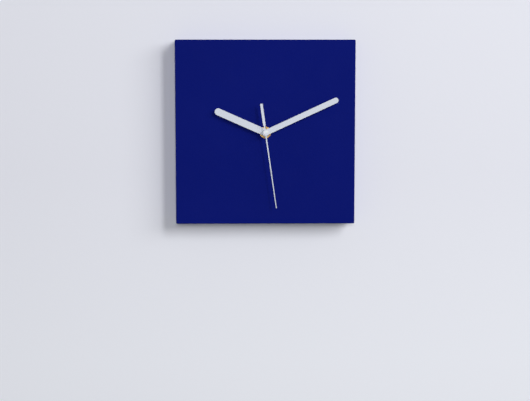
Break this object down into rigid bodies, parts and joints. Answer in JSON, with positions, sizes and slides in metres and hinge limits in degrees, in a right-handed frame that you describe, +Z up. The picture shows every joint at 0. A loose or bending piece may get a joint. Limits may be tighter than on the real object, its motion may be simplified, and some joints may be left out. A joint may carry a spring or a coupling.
{
  "type": "wall clock",
  "caption": "Square wall clock: a matt ultramarine wooden block with plain white baton hands, driven by a quartz movement let into its back and hung on a keyhole plate.",
  "frame": {"origin": "the point of the back plane where the wall screw carries the clock: the middle of the top end of the keyhole slot, 72 mm above the hand shaft's axis", "axes": "+X to the right as seen from the front, +Y back into the wall, +Z up; the back plane that lies on the wall is y = 0 and the front faces -Y"},
  "size_m": [0.2, 0.0423, 0.205],
  "materials": {
    "case_paint": "matt ultramarine paint on a smooth wooden block",
    "hand_paint": "satin white paint on thin sheet",
    "hand_cap": "white moulded plastic",
    "brass": "turned brass, satin",
    "zinc_steel": "zinc-plated steel",
    "magnet": "sintered magnet",
    "copper": "enamelled copper wire",
    "black_plastic": "moulded black plastic",
    "pale_plastic": "natural moulded acetal",
    "rubber": "soft black rubber",
    "circuit_board": "green solder mask",
    "battery_wrap": "printed film on a steel can, no lettering"
  },
  "bodies": {
    "root": {"case_body": "case_paint", "hanger_plate": "zinc_steel", "hanger_screw_left": "zinc_steel", "hanger_screw_right": "zinc_steel", "movement_front_cover": "black_plastic", "movement_rear_cover": "black_plastic", "train_bridge": "pale_plastic", "threaded_bush": "brass", "rubber_gasket": "rubber", "brass_washer": "brass", "hex_nut": "brass", "coil_bobbin": "pale_plastic", "coil_winding": "copper", "coil_core": "zinc_steel", "stator_left": "zinc_steel", "stator_right": "zinc_steel", "circuit_board": "circuit_board", "quartz_crystal": "zinc_steel", "chip_blob": "black_plastic", "battery_contact_positive": "zinc_steel", "battery_contact_negative": "zinc_steel"},
    "minute_arbor": {"minute_cannon": "pale_plastic", "centre_wheel": "pale_plastic", "minute_hand": "hand_paint"},
    "hour_arbor": {"hour_wheel": "pale_plastic", "hour_hand": "hand_paint"},
    "seconds_shaft": {"seconds_wheel": "pale_plastic", "seconds_arbor": "zinc_steel", "second_hand": "hand_paint", "second_hand_cap": "hand_cap"},
    "third_arbor": {"third_wheel": "pale_plastic"},
    "step_arbor": {"step_wheel": "pale_plastic"},
    "rotor": {"rotor_pinion": "pale_plastic", "rotor_magnet": "magnet"},
    "motion_arbor": {"motion_wheel": "pale_plastic"},
    "setter": {"set_wheel": "pale_plastic", "set_knob": "black_plastic"},
    "battery": {"battery_cell": "battery_wrap", "battery_terminal": "zinc_steel"}
  },
  "joints": [
    {"name": "minute", "type": "hinge", "parent": "root", "child": "minute_arbor", "pos_m": [0, -0.03, -0.072], "axis": [0, 1, 0], "continuous": true},
    {"name": "hour", "type": "hinge", "parent": "root", "child": "hour_arbor", "pos_m": [0, -0.03, -0.072], "axis": [0, 1, 0], "continuous": true},
    {"name": "seconds", "type": "hinge", "parent": "root", "child": "seconds_shaft", "pos_m": [0, -0.03, -0.072], "axis": [0, 1, 0], "continuous": true},
    {"name": "third", "type": "hinge", "parent": "root", "child": "third_arbor", "pos_m": [-0.00636, -0.0172, -0.06564], "axis": [0, 1, 0], "continuous": true},
    {"name": "step", "type": "hinge", "parent": "root", "child": "step_arbor", "pos_m": [0.00378, -0.0137, -0.06545], "axis": [0, 1, 0], "continuous": true},
    {"name": "rotor", "type": "hinge", "parent": "root", "child": "rotor", "pos_m": [0.01028, -0.0117, -0.0617], "axis": [0, 1, 0], "continuous": true},
    {"name": "motion", "type": "hinge", "parent": "root", "child": "motion_arbor", "pos_m": [0.00752, -0.0195, -0.06926], "axis": [0, 1, 0], "continuous": true},
    {"name": "setter", "type": "hinge", "parent": "root", "child": "setter", "pos_m": [0.01652, -0.0048, -0.06926], "axis": [0, 1, 0], "continuous": true},
    {"name": "battery", "type": "slide", "parent": "root", "child": "battery", "axis": [0, 1, 0], "range_m": [0, 0.03]}
  ],
  "couplings": [
    {"joint": "hour", "follows": "minute", "ratio": 0.083333},
    {"joint": "motion", "follows": "minute", "ratio": -0.33333},
    {"joint": "setter", "follows": "minute", "ratio": 0.66667},
    {"joint": "third", "follows": "minute", "ratio": -8},
    {"joint": "seconds", "follows": "minute", "ratio": 60},
    {"joint": "step", "follows": "minute", "ratio": -360},
    {"joint": "rotor", "follows": "minute", "ratio": 1800}
  ]
}
